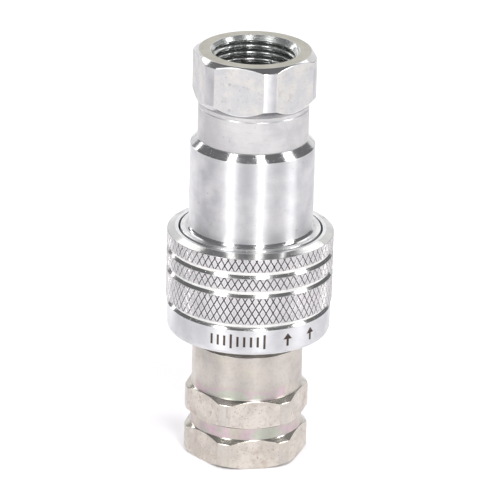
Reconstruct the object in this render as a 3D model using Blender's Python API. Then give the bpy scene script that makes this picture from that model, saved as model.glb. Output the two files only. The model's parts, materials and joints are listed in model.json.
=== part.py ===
"""Quick disconnect coupler for a 3/8 inch hydraulic line: a plug and a socket, connected and locked.

The axis is Z. The origin is the centre of the plug's end face, the plug is at the bottom and the
socket on top. Dimensions are in millimetres and are scaled to metres where meshes are made.
Eight balls in the socket body sit in the plug's groove, and the sleeve's land holds them there.
Two poppets meet nose to nose and hold each other off their seats.
"""

import math

import bmesh
import bpy
from mathutils import Matrix, Vector

MM = 0.001

# Facets around the turned pieces. Multiples of 4 keep the outline symmetric.
OUTER_FACETS = 32
INNER_FACETS = 24
HOLE_FACETS = 16
WINDOW_FACETS = 8
FILLET_STEPS = 3

# Points around the section of a spring's wire and of an O-ring
WIRE_POINTS = 6
SEAL_POINTS = 8

# Shading, merging, and how far a cutter runs past what it cuts
SHARP_ANGLE = 30.0
ON_AXIS = 1e-9
MERGE_DISTANCE = 1e-4
CUT_PAST = 1.0

# Small chamfers, and the gap left between a seal or ring and its groove
SMALL_CHAMFER = 0.3
CHAMFER = 0.5
GROOVE_GAP = 0.1
LOOSE_GAP = 0.15

# Bar stock and hexagons, shared by both halves
BAR_R = 12.0
FLAT_R = 11.0  # half of 22 mm across flats
PLUG_FLAT_ANGLE = -80.0
SOCKET_FLAT_ANGLE = -45.0

# Port, G 3/8 parallel thread, drawn at its minor diameter
PORT_R = 7.48
PORT_MOUTH_R = 8.55
PORT_DEPTH = 12.0

# Overall length
LENGTH = 82.5

# Plug, from its end face upwards
PLUG_EDGE_R = 11.2
PLUG_EDGE_Z = 0.46
WAIST_R = 10.9
WAIST_BOTTOM_Z = 6.0
WAIST_TOP_Z = 8.4
LOWER_HEX_TOP_Z = 4.9
UPPER_HEX_BOTTOM_Z = 9.0
UPPER_HEX_TOP_Z = 13.2
PLUG_ROUND_R = 10.75
PLUG_ROUND_Z = 14.25
PLUG_SHOULDER_Z = 23.5
PROBE_R = 8.65
PROBE_TIP_R = 7.9
PROBE_TIP_Z = 40.2
PROBE_TIP_CHAMFER = 1.0
PLUG_BORE_R = 6.6
PLUG_THROAT_R = 4.9
PLUG_THROAT_Z = 38.6
CIRCLIP_GROOVE_R = 7.3
CIRCLIP_GROOVE_Z = 14.3
CIRCLIP_GROOVE_TOP_Z = 15.5

# Ball lock
BALL_COUNT = 8
BALL_R = 2.0
BALL_Z = 32.6
BALL_CENTRE_R = 9.73
BALL_HOLE_R = 2.1
BALL_HOLE_MOUTH_R = 1.88
BALL_HOLE_MOUTH_AT = 8.3
BALL_HOLE_FULL_AT = 9.6
BALL_HOLE_PAST = 1.5
BALL_GROOVE_R = 7.6
BALL_GROOVE_HALF = 0.8

# Socket body
SOCKET_FRONT_Z = 26.9
SOCKET_FRONT_R = 11.7
SOCKET_BORE_R = 8.75
SOCKET_MOUTH_R = 9.35
SNAP_GROOVE_R = 11.2
SNAP_GROOVE_Z = 28.2
SNAP_GROOVE_TOP_Z = 29.4
SEAL_GROOVE_R = 10.2
SEAL_GROOVE_Z = 36.1
SEAL_GROOVE_TOP_Z = 39.5
BACKUP_RING_TOP_Z = 37.35
SEAL_SQUEEZE_GAP = 0.08
SOCKET_STOP_Z = 41.0
SOCKET_THROAT_R = 6.2
SOCKET_THROAT_Z = 41.8
CHAMBER_R = 8.8
GUIDE_STEP_Z = 57.0
SPIGOT_BORE_R = 9.6
FLANGE_R = 13.55
FLANGE_FRONT_Z = 44.9
FLANGE_TOP_Z = 46.56
FLANGE_FILLET = 1.04
FLANGE_CHAMFER = 0.25
SOCKET_CHAMFER_Z = 63.72
SOCKET_REAR_Z = 65.07
NECK_R = 10.65

# Adapter
SPIGOT_R = 9.5
SPIGOT_CHAMFER = 0.4
SPIGOT_END_Z = 59.3
SPIGOT_SEAL_Z = 63.5
SPIGOT_SEAL_R = 8.0
ADAPTER_BORE_R = 6.2
NECK_BOTTOM_Z = 65.22
NECK_TOP_Z = 72.25
HEX_BOTTOM_Z = 74.0
HEX_TOP_Z = 81.7
TOP_FACE_R = 10.76

# Locking sleeve
SLEEVE_MOUTH_Z = 25.75
SLEEVE_REAR_Z = 46.4
MOUTH_FACE_R = 14.9
MOUTH_ROUND_R = 15.55
MOUTH_ROUND_Z = 26.05
BAND_R = 15.85
BAND_Z = 26.7
BAND_TOP_Z = 30.8
RELIEF_R = 15.6
RELIEF_Z = 31.05
RELIEF_TOP_Z = 32.14
KNURL_R = 16.1
KNURL_BOTTOM_Z = 32.34
KNURL_TOP_Z = 45.8
SLEEVE_GROOVES_Z = (38.6, 42.54)
SLEEVE_GROOVE_HALF = 0.7
SLEEVE_GROOVE_FLOOR_HALF = 0.3
SLEEVE_GROOVE_DEPTH = 0.5
REAR_RIM_R = 14.6
SPRING_BORE_R = 13.95
SPRING_SHOULDER_Z = 35.3
LAND_R = 11.92
RECESS_R = 12.95
RAMP_ANGLE = 30.0
SKIRT_R = 13.5
STOP_STEP_Z = 29.45

# Valves. Both poppets are open, nose to nose on one plane. Lengths run from the nose's tip.
NOSE_PLANE_Z = 37.2
NOSE_GAP = 0.1
SEAL_BACK_GAP = 0.05
SOCKET_POPPET = {
    "nose_r": 3.4,
    "nose_length": 7.5,
    "cone_r": 5.6,
    "head_r": 8.0,
    "head_length": 1.35,
    "boss_r": 3.4,
    "boss_length": 4.8,
    "stem_r": 2.2,
    "stem_length": 6.7,
    "seal_corner_r": 6.0,
    "seal_section": 1.1,
}
PLUG_POPPET = {
    "nose_r": 3.0,
    "nose_length": 1.55,
    "cone_r": 4.3,
    "head_r": 5.8,
    "head_length": 1.3,
    "boss_r": 2.6,
    "boss_length": 11.0,
    "stem_r": 1.7,
    "stem_length": 7.6,
    "seal_corner_r": 4.55,
    "seal_section": 0.84,
}

# Valve guides: a ring, three spokes and a hub for the poppet's stem
SOCKET_GUIDE = {
    "outer_r": 9.5,
    "ring_r": 7.7,
    "hub_r": 3.6,
    "hole_r": 2.3,
    "web": (57.1, 59.2),
    "hub_end_z": 54.5,
}
PLUG_GUIDE = {
    "outer_r": 6.5,
    "ring_r": 5.4,
    "hub_r": 2.9,
    "hole_r": 1.8,
    "web": (17.4, 15.6),
    "hub_end_z": 20.5,
}
SPOKE_COUNT = 3
WINDOW_DEG = 88.0
WINDOW_HUB_GAP = 0.5

# Split rings: outer radius, opening in degrees and facets
SNAP_RING_R = 13.3
SNAP_RING_OPENING = 20.0
SNAP_RING_FACETS = 28
CIRCLIP_R = 7.15
CIRCLIP_INNER_R = 5.6
CIRCLIP_OPENING = 40.0
CIRCLIP_FACETS = 20

# Springs: mean radius, wire radius, turns and facets per turn
SLEEVE_SPRING = (12.825, 0.575, 3.75, 16)
SOCKET_SPRING = (5.0, 0.65, 5.0, 12)
PLUG_SPRING = (4.3, 0.5, 7.5, 10)
SPRING_GAP = 0.1


def clear_scene():
    for obj in list(bpy.data.objects):
        bpy.data.objects.remove(obj, do_unlink=True)


def make_material(name, color, metallic, roughness):
    material = bpy.data.materials.new(name)
    material.use_nodes = True
    shader = material.node_tree.nodes["Principled BSDF"]
    shader.inputs["Base Color"].default_value = (*color, 1.0)
    shader.inputs["Metallic"].default_value = metallic
    shader.inputs["Roughness"].default_value = roughness
    return material


def add_object(name, bm, finish=None, parent=None, location=(0.0, 0.0, 0.0)):
    """Scales the millimetre mesh to metres and puts it in the scene.

    finish is (color, metallic, roughness). A cutter has none.
    """
    bmesh.ops.recalc_face_normals(bm, faces=bm.faces[:])
    bmesh.ops.scale(bm, vec=Vector((MM, MM, MM)), verts=bm.verts[:])
    mesh = bpy.data.meshes.new(name)
    bm.to_mesh(mesh)
    bm.free()
    mesh.shade_smooth()
    mesh.set_sharp_from_angle(angle=math.radians(SHARP_ANGLE))
    obj = bpy.data.objects.new(name, mesh)
    bpy.context.scene.collection.objects.link(obj)
    obj.location = Vector(location) * MM
    obj.parent = parent
    if finish:
        mesh.materials.append(make_material(name, *finish))
    return obj


def add_empty(name, parent=None):
    empty = bpy.data.objects.new(name, None)
    bpy.context.scene.collection.objects.link(empty)
    empty.parent = parent
    return empty


def cut(target, cutter):
    """Takes the cutter out of the target with a Boolean, and hides the cutter."""
    cutter.hide_render = True
    cutter.display_type = "WIRE"
    modifier = target.modifiers.new(cutter.name, "BOOLEAN")
    modifier.operation = "DIFFERENCE"
    modifier.solver = "EXACT"
    modifier.object = cutter


def arc(centre_r, centre_z, radius, start_deg, end_deg, steps):
    """Points of an arc in the (r, z) half plane, ends included."""
    points = []
    for i in range(steps + 1):
        angle = math.radians(start_deg + (end_deg - start_deg) * i / steps)
        points.append((centre_r + radius * math.cos(angle), centre_z + radius * math.sin(angle)))
    return points


def turned(profile, facets, sweep_deg=360.0, start_deg=0.0):
    """Spins a closed (r, z) outline about Z, all round or through part of a turn with capped ends."""
    bm = bmesh.new()
    start = math.radians(start_deg)
    verts = [bm.verts.new((r * math.cos(start), r * math.sin(start), z)) for r, z in profile]
    whole = sweep_deg >= 360.0
    outline = bm.faces.new(verts)
    edges = outline.edges[:]
    if whole:
        bmesh.ops.delete(bm, geom=[outline], context="FACES_ONLY")
    edges = [edge for edge in edges if any(v.co.xy.length > ON_AXIS for v in edge.verts)]
    bmesh.ops.spin(
        bm,
        geom=(edges if whole else edges + [outline]),
        cent=(0.0, 0.0, 0.0),
        axis=(0.0, 0.0, 1.0),
        angle=math.radians(sweep_deg),
        steps=facets,
        use_merge=whole,
    )
    bmesh.ops.remove_doubles(bm, verts=bm.verts[:], dist=MERGE_DISTANCE)
    return bm


def hex_cutter(name, flat_angle, bottom, top):
    """A thick six-sided collar whose hole is the hexagon, to cut flats on round bar."""
    corner = FLAT_R / math.cos(math.radians(30.0))
    outline = [(corner, bottom), (2.0 * corner, bottom), (2.0 * corner, top), (corner, top)]
    bm = turned(outline, 6, start_deg=flat_angle + 30.0)
    return add_object(name, bm)


def coil(spring, bottom, top):
    """A round-wire helix about Z with flat ends, whose wire stays between bottom and top."""
    mean_r, wire_r, turns, steps_per_turn = spring
    bm = bmesh.new()
    steps = round(turns * steps_per_turn)
    low = bottom + wire_r
    rise = top - bottom - 2.0 * wire_r
    last = None
    for i in range(steps + 1):
        around = 2.0 * math.pi * turns * i / steps
        ring = []
        for j in range(WIRE_POINTS):
            across = 2.0 * math.pi * (j + 0.5) / WIRE_POINTS
            r = mean_r + wire_r * math.cos(across)
            z = low + rise * i / steps + wire_r * math.sin(across)
            ring.append(bm.verts.new((r * math.cos(around), r * math.sin(around), z)))
        if last:
            for j in range(WIRE_POINTS):
                k = (j + 1) % WIRE_POINTS
                bm.faces.new((last[j], last[k], ring[k], ring[j]))
        else:
            bm.faces.new(ring)
        last = ring
    bm.faces.new(last)
    return bm


def seal_ring(inner_r, outer_r, bottom, top, facets):
    """An O-ring whose oval section fills the given inner and outer radius and height."""
    middle_r = (inner_r + outer_r) / 2.0
    middle_z = (bottom + top) / 2.0
    outline = []
    for i in range(SEAL_POINTS):
        angle = 2.0 * math.pi * i / SEAL_POINTS
        r = middle_r + (outer_r - inner_r) / 2.0 * math.cos(angle)
        z = middle_z + (top - bottom) / 2.0 * math.sin(angle)
        outline.append((r, z))
    return turned(outline, facets)


def groove_outline(centre_z, floor_half, top_half, surface_r, floor_r):
    """The four corners of a groove with sloping sides, from below to above."""
    return [
        (surface_r, centre_z - top_half),
        (floor_r, centre_z - floor_half),
        (floor_r, centre_z + floor_half),
        (surface_r, centre_z + top_half),
    ]


ZINC = ((0.72, 0.73, 0.75), 1.0, 0.3)
YELLOW_ZINC = ((0.74, 0.70, 0.60), 1.0, 0.32)
SPRING_STEEL = ((0.45, 0.45, 0.46), 1.0, 0.35)
BALL_STEEL = ((0.80, 0.80, 0.81), 1.0, 0.12)
BRASS = ((0.78, 0.60, 0.30), 1.0, 0.3)
RUBBER = ((0.02, 0.02, 0.02), 0.0, 0.6)
PTFE = ((0.90, 0.90, 0.88), 0.0, 0.5)


def plug_body(parent):
    ball_groove_half = BALL_GROOVE_HALF + PROBE_R - BALL_GROOVE_R
    outline = [
        (PORT_MOUTH_R, 0.0),
        (PLUG_EDGE_R, 0.0),
        (BAR_R, PLUG_EDGE_Z),
        (BAR_R, LOWER_HEX_TOP_Z),
        (WAIST_R, WAIST_BOTTOM_Z),
        (WAIST_R, WAIST_TOP_Z),
        (BAR_R, UPPER_HEX_BOTTOM_Z),
        (BAR_R, UPPER_HEX_TOP_Z),
        (PLUG_ROUND_R, PLUG_ROUND_Z),
        (PLUG_ROUND_R, PLUG_SHOULDER_Z - SMALL_CHAMFER),
        (PLUG_ROUND_R - SMALL_CHAMFER, PLUG_SHOULDER_Z),
        (PROBE_R, PLUG_SHOULDER_Z),
        *groove_outline(BALL_Z, BALL_GROOVE_HALF, ball_groove_half, PROBE_R, BALL_GROOVE_R),
        (PROBE_R, PROBE_TIP_Z - PROBE_TIP_CHAMFER),
        (PROBE_TIP_R, PROBE_TIP_Z),
        (PLUG_THROAT_R, PROBE_TIP_Z),
        (PLUG_THROAT_R, PLUG_THROAT_Z),
        (PLUG_BORE_R, PLUG_THROAT_Z - (PLUG_BORE_R - PLUG_THROAT_R)),
        (PLUG_BORE_R, CIRCLIP_GROOVE_TOP_Z),
        (CIRCLIP_GROOVE_R, CIRCLIP_GROOVE_TOP_Z),
        (CIRCLIP_GROOVE_R, CIRCLIP_GROOVE_Z),
        (PLUG_BORE_R, CIRCLIP_GROOVE_Z),
        (PLUG_BORE_R, PORT_DEPTH + PORT_R - PLUG_BORE_R),
        (PORT_R, PORT_DEPTH),
        (PORT_R, PORT_MOUTH_R - PORT_R),
    ]
    body = add_object("plug_body", turned(outline, OUTER_FACETS), YELLOW_ZINC, parent)
    cut(body, hex_cutter("plug_hex_cutter", PLUG_FLAT_ANGLE, -CUT_PAST, PLUG_ROUND_Z + CUT_PAST))


def socket_body(parent):
    fillet_r = BAR_R + FLANGE_FILLET
    fillet_z = FLANGE_TOP_Z + FLANGE_FILLET
    fillet = arc(fillet_r, fillet_z, FLANGE_FILLET, 270.0, 180.0, FILLET_STEPS)
    outline = [
        (SOCKET_MOUTH_R, SOCKET_FRONT_Z),
        (SOCKET_FRONT_R - SMALL_CHAMFER, SOCKET_FRONT_Z),
        (SOCKET_FRONT_R, SOCKET_FRONT_Z + SMALL_CHAMFER),
        (SOCKET_FRONT_R, SNAP_GROOVE_Z),
        (SNAP_GROOVE_R, SNAP_GROOVE_Z),
        (SNAP_GROOVE_R, SNAP_GROOVE_TOP_Z),
        (SOCKET_FRONT_R, SNAP_GROOVE_TOP_Z),
        (SOCKET_FRONT_R, FLANGE_FRONT_Z),
        (FLANGE_R, FLANGE_FRONT_Z),
        (FLANGE_R, FLANGE_TOP_Z - FLANGE_CHAMFER),
        (FLANGE_R - FLANGE_CHAMFER, FLANGE_TOP_Z),
        *fillet,
        (BAR_R, SOCKET_CHAMFER_Z),
        (NECK_R, SOCKET_REAR_Z),
        (SPIGOT_BORE_R + SMALL_CHAMFER, SOCKET_REAR_Z),
        (SPIGOT_BORE_R, SOCKET_REAR_Z - SMALL_CHAMFER),
        (SPIGOT_BORE_R, GUIDE_STEP_Z),
        (CHAMBER_R, GUIDE_STEP_Z),
        (CHAMBER_R, SOCKET_THROAT_Z + CHAMBER_R - SOCKET_THROAT_R),
        (SOCKET_THROAT_R, SOCKET_THROAT_Z),
        (SOCKET_THROAT_R, SOCKET_STOP_Z),
        (SOCKET_BORE_R, SOCKET_STOP_Z),
        (SOCKET_BORE_R, SEAL_GROOVE_TOP_Z),
        (SEAL_GROOVE_R, SEAL_GROOVE_TOP_Z),
        (SEAL_GROOVE_R, SEAL_GROOVE_Z),
        (SOCKET_BORE_R, SEAL_GROOVE_Z),
        (SOCKET_BORE_R, SOCKET_FRONT_Z + SOCKET_MOUTH_R - SOCKET_BORE_R),
    ]
    body = add_object("socket_body", turned(outline, OUTER_FACETS), ZINC, parent)
    cut(body, ball_hole_cutter())


def ball_angle(index):
    return 2.0 * math.pi * (index + 0.5) / BALL_COUNT


def ball_hole_cutter():
    """Eight radial holes that narrow towards the bore, so that the balls can't fall into it."""
    outline = [
        (0.0, SOCKET_BORE_R - BALL_HOLE_PAST),
        (BALL_HOLE_MOUTH_R, SOCKET_BORE_R - BALL_HOLE_PAST),
        (BALL_HOLE_MOUTH_R, BALL_HOLE_MOUTH_AT),
        (BALL_HOLE_R, BALL_HOLE_FULL_AT),
        (BALL_HOLE_R, SOCKET_FRONT_R + BALL_HOLE_PAST),
        (0.0, SOCKET_FRONT_R + BALL_HOLE_PAST),
    ]
    holes = bmesh.new()
    for i in range(BALL_COUNT):
        one = turned(outline, HOLE_FACETS, start_deg=180.0 / HOLE_FACETS)
        place = Matrix.Translation((0.0, 0.0, BALL_Z)) @ Matrix.Rotation(ball_angle(i), 4, "Z")
        bmesh.ops.transform(one, matrix=place @ Matrix.Rotation(math.pi / 2.0, 4, "Y"), verts=one.verts[:])
        mesh = bpy.data.meshes.new("ball_hole")
        one.to_mesh(mesh)
        one.free()
        holes.from_mesh(mesh)
        bpy.data.meshes.remove(mesh)
    return add_object("ball_hole_cutter", holes)


def lock_balls(parent):
    for i in range(BALL_COUNT):
        bm = bmesh.new()
        bmesh.ops.create_icosphere(bm, subdivisions=2, radius=BALL_R)
        angle = ball_angle(i)
        centre = (BALL_CENTRE_R * math.cos(angle), BALL_CENTRE_R * math.sin(angle), BALL_Z)
        add_object(f"lock_ball_{i + 1}", bm, BALL_STEEL, parent, centre)


def socket_adapter(parent):
    outline = [
        (ADAPTER_BORE_R, SPIGOT_END_Z),
        (SPIGOT_R - SPIGOT_CHAMFER, SPIGOT_END_Z),
        (SPIGOT_R, SPIGOT_END_Z + SPIGOT_CHAMFER),
        (SPIGOT_R, SPIGOT_SEAL_Z),
        (SPIGOT_SEAL_R, SPIGOT_SEAL_Z),
        (SPIGOT_SEAL_R, NECK_BOTTOM_Z),
        (NECK_R, NECK_BOTTOM_Z),
        (NECK_R, NECK_TOP_Z),
        (BAR_R, HEX_BOTTOM_Z),
        (BAR_R, HEX_TOP_Z),
        (TOP_FACE_R, LENGTH),
        (PORT_MOUTH_R, LENGTH),
        (PORT_R, LENGTH - (PORT_MOUTH_R - PORT_R)),
        (PORT_R, LENGTH - PORT_DEPTH),
        (ADAPTER_BORE_R, LENGTH - PORT_DEPTH - (PORT_R - ADAPTER_BORE_R)),
    ]
    adapter = add_object("socket_adapter", turned(outline, OUTER_FACETS), ZINC, parent)
    cut(adapter, hex_cutter("socket_hex_cutter", SOCKET_FLAT_ANGLE, NECK_TOP_Z - CUT_PAST, LENGTH + CUT_PAST))
    seal_bottom = SPIGOT_SEAL_Z + LOOSE_GAP
    seal_top = NECK_BOTTOM_Z - LOOSE_GAP
    seal = seal_ring(SPIGOT_SEAL_R + GROOVE_GAP, SPIGOT_R, seal_bottom, seal_top, INNER_FACETS)
    add_object("adapter_seal", seal, RUBBER, parent)


def locking_sleeve(parent):
    ramp_length = (RECESS_R - LAND_R) / math.tan(math.radians(RAMP_ANGLE))
    floor_r = KNURL_R - SLEEVE_GROOVE_DEPTH
    grooves = []
    for centre_z in SLEEVE_GROOVES_Z:
        grooves += groove_outline(centre_z, SLEEVE_GROOVE_FLOOR_HALF, SLEEVE_GROOVE_HALF, KNURL_R, floor_r)
    outline = [
        (SKIRT_R + CHAMFER, SLEEVE_MOUTH_Z),
        (MOUTH_FACE_R, SLEEVE_MOUTH_Z),
        (MOUTH_ROUND_R, MOUTH_ROUND_Z),
        (BAND_R, BAND_Z),
        (BAND_R, BAND_TOP_Z),
        (RELIEF_R, RELIEF_Z),
        (RELIEF_R, RELIEF_TOP_Z),
        (KNURL_R, KNURL_BOTTOM_Z),
        *grooves,
        (KNURL_R, KNURL_TOP_Z),
        (REAR_RIM_R, SLEEVE_REAR_Z),
        (SPRING_BORE_R, SLEEVE_REAR_Z),
        (SPRING_BORE_R, SPRING_SHOULDER_Z),
        (LAND_R, SPRING_SHOULDER_Z),
        (LAND_R, BALL_Z),
        (RECESS_R, BALL_Z - ramp_length),
        (RECESS_R, STOP_STEP_Z),
        (SKIRT_R, STOP_STEP_Z),
        (SKIRT_R, SLEEVE_MOUTH_Z + CHAMFER),
    ]
    add_object("locking_sleeve", turned(outline, OUTER_FACETS), ZINC, parent)


def add_spring(name, parent, spring, bottom, top):
    add_object(name, coil(spring, bottom + SPRING_GAP, top - SPRING_GAP), SPRING_STEEL, parent)


def split_ring(inner_r, outer_r, bottom, top, opening_deg, facets):
    outline = [(inner_r, bottom), (outer_r, bottom), (outer_r, top), (inner_r, top)]
    return turned(outline, facets, 360.0 - opening_deg, opening_deg / 2.0)


def sleeve_snap_ring(parent):
    bottom = SNAP_GROOVE_Z + GROOVE_GAP
    top = SNAP_GROOVE_TOP_Z - GROOVE_GAP
    inner_r = SNAP_GROOVE_R + LOOSE_GAP
    bm = split_ring(inner_r, SNAP_RING_R, bottom, top, SNAP_RING_OPENING, SNAP_RING_FACETS)
    add_object("sleeve_snap_ring", bm, SPRING_STEEL, parent)


def interface_seals(parent):
    outline = [
        (SOCKET_BORE_R, SEAL_GROOVE_Z + GROOVE_GAP),
        (SEAL_GROOVE_R - GROOVE_GAP, SEAL_GROOVE_Z + GROOVE_GAP),
        (SEAL_GROOVE_R - GROOVE_GAP, BACKUP_RING_TOP_Z),
        (SOCKET_BORE_R, BACKUP_RING_TOP_Z),
    ]
    add_object("backup_ring", turned(outline, OUTER_FACETS), PTFE, parent)
    inner_r = PROBE_R + SEAL_SQUEEZE_GAP
    outer_r = SEAL_GROOVE_R - SEAL_SQUEEZE_GAP
    bottom = BACKUP_RING_TOP_Z + GROOVE_GAP
    top = SEAL_GROOVE_TOP_Z - GROOVE_GAP
    ring = seal_ring(inner_r, outer_r, bottom, top, OUTER_FACETS)
    add_object("interface_o_ring", ring, RUBBER, parent)


def poppet(name, parent, size, away):
    """Adds a poppet and its seal, and returns the height of its head's back, where the spring rests.

    away is +1 where the stem points up from the nose, and -1 where it points down.
    """
    cone_end = size["nose_length"] + size["head_r"] - size["cone_r"]
    back = cone_end + size["head_length"]
    boss_end = back + size["boss_length"]
    stem_end = boss_end + size["stem_length"]
    corner_r = size["seal_corner_r"]
    corner_start = size["nose_length"] + corner_r - size["cone_r"]
    corner_depth = cone_end - SMALL_CHAMFER
    steps = [
        (0.0, 0.0),
        (size["nose_r"] - CHAMFER, 0.0),
        (size["nose_r"], CHAMFER),
        (size["nose_r"], size["nose_length"]),
        (size["cone_r"], size["nose_length"]),
        (corner_r, corner_start),
        (corner_r, corner_depth),
        (size["head_r"] - SMALL_CHAMFER, corner_depth),
        (size["head_r"], cone_end),
        (size["head_r"], back),
        (size["boss_r"], back),
        (size["boss_r"], boss_end),
        (size["stem_r"], boss_end),
        (size["stem_r"], stem_end),
        (0.0, stem_end),
    ]
    tip_z = NOSE_PLANE_Z + away * NOSE_GAP / 2.0
    outline = [(r, tip_z + away * along) for r, along in steps]
    add_object(name, turned(outline, INNER_FACETS), BRASS, parent)
    seal_r = corner_r + SEAL_BACK_GAP
    seal_depth = corner_depth - SEAL_BACK_GAP
    section = size["seal_section"]
    near = tip_z + away * seal_depth
    far = tip_z + away * (seal_depth - section)
    seal = seal_ring(seal_r, seal_r + section, near, far, INNER_FACETS)
    add_object(name + "_seal", seal, RUBBER, parent)
    return tip_z + away * back


def valve_guide(name, parent, size):
    near, far = size["web"]
    outline = [
        (size["hole_r"], size["hub_end_z"]),
        (size["hub_r"], size["hub_end_z"]),
        (size["hub_r"], near),
        (size["outer_r"], near),
        (size["outer_r"], far),
        (size["hole_r"], far),
    ]
    guide = add_object(name, turned(outline, INNER_FACETS), BRASS, parent)
    low = min(near, far) - CUT_PAST
    high = max(near, far) + CUT_PAST
    inner_r = size["hub_r"] + WINDOW_HUB_GAP
    windows = [(inner_r, low), (size["ring_r"], low), (size["ring_r"], high), (inner_r, high)]
    for i in range(SPOKE_COUNT):
        window = turned(windows, WINDOW_FACETS, WINDOW_DEG, 360.0 * i / SPOKE_COUNT)
        cut(guide, add_object(f"{name}_window_{i + 1}", window))


def plug_circlip(parent):
    bottom = CIRCLIP_GROOVE_Z + GROOVE_GAP
    top = CIRCLIP_GROOVE_TOP_Z - GROOVE_GAP
    bm = split_ring(CIRCLIP_INNER_R, CIRCLIP_R, bottom, top, CIRCLIP_OPENING, CIRCLIP_FACETS)
    add_object("plug_circlip", bm, SPRING_STEEL, parent)


def main():
    clear_scene()
    plug_half = add_empty("plug_half")
    socket_half = add_empty("socket_half")
    sleeve_unit = add_empty("sleeve_unit", socket_half)
    plug_body(plug_half)
    socket_body(socket_half)
    socket_adapter(socket_half)
    lock_balls(socket_half)
    sleeve_snap_ring(socket_half)
    interface_seals(socket_half)
    locking_sleeve(sleeve_unit)
    add_spring("sleeve_spring", sleeve_unit, SLEEVE_SPRING, SPRING_SHOULDER_Z, FLANGE_FRONT_Z)
    socket_back = poppet("socket_poppet", socket_half, SOCKET_POPPET, 1)
    valve_guide("socket_valve_guide", socket_half, SOCKET_GUIDE)
    add_spring("socket_valve_spring", socket_half, SOCKET_SPRING, socket_back, SOCKET_GUIDE["web"][0])
    plug_back = poppet("plug_poppet", plug_half, PLUG_POPPET, -1)
    valve_guide("plug_valve_guide", plug_half, PLUG_GUIDE)
    add_spring("plug_valve_spring", plug_half, PLUG_SPRING, PLUG_GUIDE["web"][0], plug_back)
    plug_circlip(plug_half)


main()
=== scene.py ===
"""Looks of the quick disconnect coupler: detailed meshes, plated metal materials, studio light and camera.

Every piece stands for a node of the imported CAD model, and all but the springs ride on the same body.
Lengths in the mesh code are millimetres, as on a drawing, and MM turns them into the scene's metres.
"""

import collections
import functools
import json
import math

import bmesh
import bpy
import numpy as np
from mathutils import Matrix, Vector


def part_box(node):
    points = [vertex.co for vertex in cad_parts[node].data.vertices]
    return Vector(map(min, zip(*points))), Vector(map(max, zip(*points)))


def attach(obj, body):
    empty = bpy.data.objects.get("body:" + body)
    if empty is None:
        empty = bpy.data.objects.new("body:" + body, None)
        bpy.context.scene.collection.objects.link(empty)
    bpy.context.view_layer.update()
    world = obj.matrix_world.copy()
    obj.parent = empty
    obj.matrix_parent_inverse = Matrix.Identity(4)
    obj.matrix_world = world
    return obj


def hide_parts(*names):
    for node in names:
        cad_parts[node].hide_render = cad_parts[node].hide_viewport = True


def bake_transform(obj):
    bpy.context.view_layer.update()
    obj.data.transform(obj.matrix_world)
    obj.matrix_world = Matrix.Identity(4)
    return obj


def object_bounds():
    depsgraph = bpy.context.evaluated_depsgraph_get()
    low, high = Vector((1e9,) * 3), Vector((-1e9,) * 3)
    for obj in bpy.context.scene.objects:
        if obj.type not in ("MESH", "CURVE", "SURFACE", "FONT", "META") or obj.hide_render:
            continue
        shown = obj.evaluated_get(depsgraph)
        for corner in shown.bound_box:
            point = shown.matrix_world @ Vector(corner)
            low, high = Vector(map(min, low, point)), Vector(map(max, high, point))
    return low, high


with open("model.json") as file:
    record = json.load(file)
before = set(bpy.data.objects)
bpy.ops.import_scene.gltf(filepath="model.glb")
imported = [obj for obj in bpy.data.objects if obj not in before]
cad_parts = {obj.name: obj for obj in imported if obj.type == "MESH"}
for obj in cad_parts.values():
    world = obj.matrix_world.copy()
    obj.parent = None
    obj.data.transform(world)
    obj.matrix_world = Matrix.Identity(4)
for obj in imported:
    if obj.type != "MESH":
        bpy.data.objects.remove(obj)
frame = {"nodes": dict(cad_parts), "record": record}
cad_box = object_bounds()

MM = 0.001
TOLERANCE = 0.001
MERGE_DISTANCE = 0.0002

# Columns around the turned pieces, steps along each rounded edge, the plain strip that supports it,
# the shares of the shorter run beside it that it and the strip may take, and where shading breaks
ROUND_COLUMNS = 192
SMALL_COLUMNS = 96
EDGE_STEPS = 3
EDGE_SUPPORT = 0.06
EDGE_SHARE = 0.4
SUPPORT_SHARE = 0.45
SHARP_ANGLE = math.radians(38.0)

# Worn edges: the attribute that marks them, and the angles at which wear starts and is full
EDGE_WEAR = "edge_wear"
WEAR_FROM = 0.08
WEAR_FULL = 0.3

# Hexagons and bar
BAR_R = 12.0
FLAT_R = 11.0
FLAT_STEPS = 40
CORNER_BLEND = 0.02
HALF_FLAT_ANGLE = math.acos(FLAT_R / BAR_R)

# G 3/8 parallel thread and its port. The flank is how much steeper the thread's sides are than a
# plain zigzag, which leaves flats at its crest and root, and the rows are those of the mesh.
THREAD_PITCH = 1.337
THREAD_MINOR_R = 7.48
THREAD_MAJOR_R = 8.33
PORT_MOUTH_R = 8.55
PORT_DEPTH = 12.0
THREAD_FLANK = 1.25
THREAD_RUN_OUT = 1.2
THREAD_ROWS = round(PORT_DEPTH / THREAD_PITCH * 16)
MOUTH_ROWS = 12

# Knurl: starts of each hand, grid steps per diamond, half width of a groove in steps, depth,
# angle from the axis, the height over which the grooves run out at a band's edge, and how far
# below the crest a point has to be to count as cut
KNURL_STARTS = 74
KNURL_STEPS = 10
KNURL_GROOVE_STEPS = 1.0
KNURL_DEPTH = 0.2
KNURL_HELIX = 30.0
KNURL_RUN_OUT = 0.15
BELOW_CREST = 0.01

# Grooves between the sleeve's knurled bands: their middles below the rear face, height and depth
SLEEVE_GROOVES = (7.83, 3.89)
GROOVE_HEIGHT = 1.34
GROOVE_DEPTH = 0.5
RIM_HEIGHT = 0.6

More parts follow.
